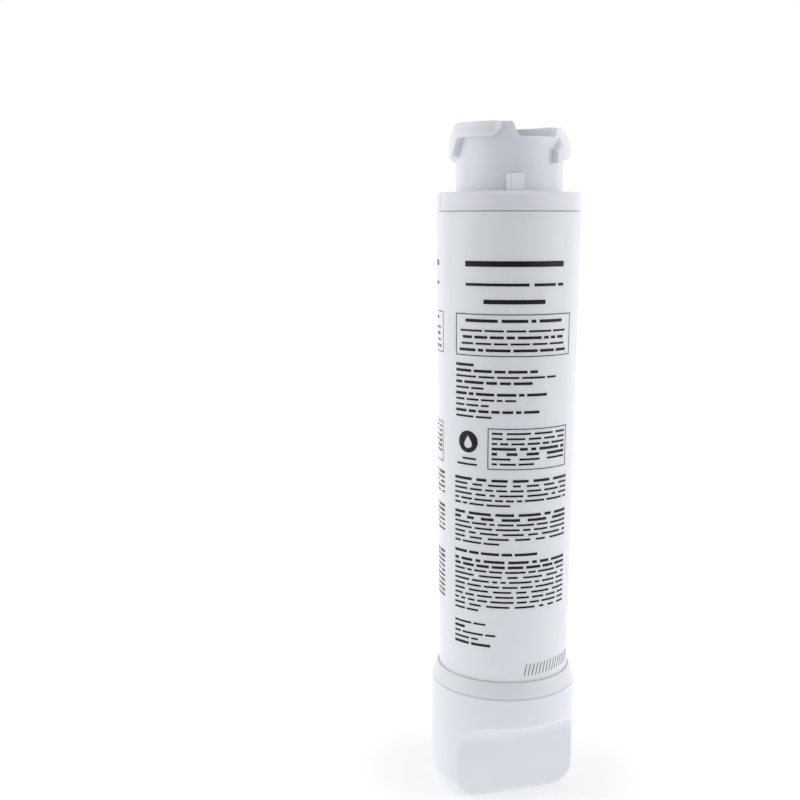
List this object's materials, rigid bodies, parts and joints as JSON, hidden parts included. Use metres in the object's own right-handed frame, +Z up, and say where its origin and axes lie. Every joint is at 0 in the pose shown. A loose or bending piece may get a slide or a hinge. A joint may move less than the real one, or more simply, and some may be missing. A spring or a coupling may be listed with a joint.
{
  "type": "refrigerator water filter cartridge",
  "caption": "Slim white water filter cartridge: drafted canister with a bayonet neck and ported stem at the top and a flat-sided twist grip at the foot.",
  "frame": {"origin": "centre of the grip's flat underside, on the cartridge's axis", "axes": "+Z up the axis from the grip to the ported neck; the grip's two flats face -Y and +Y"},
  "size_m": [0.0604, 0.0604, 0.2757],
  "materials": {
    "grip_plastic": "satin white polypropylene",
    "canister_plastic": "satin white polypropylene, printed",
    "head_plastic": "satin white polypropylene",
    "seal_rubber": "black elastomer",
    "cap_plastic": "natural polypropylene",
    "carbon": "pressed black carbon",
    "wrap_fabric": "white nonwoven sheet"
  },
  "bodies": {
    "root": {"grip": "grip_plastic", "canister": "canister_plastic", "head": "head_plastic", "outlet_o_ring": "seal_rubber", "inlet_o_ring": "seal_rubber", "spigot_o_ring": "seal_rubber", "upper_end_cap": "cap_plastic", "lower_end_cap": "cap_plastic", "carbon_block": "carbon", "prefilter_wrap": "wrap_fabric"}
  },
  "joints": []
}
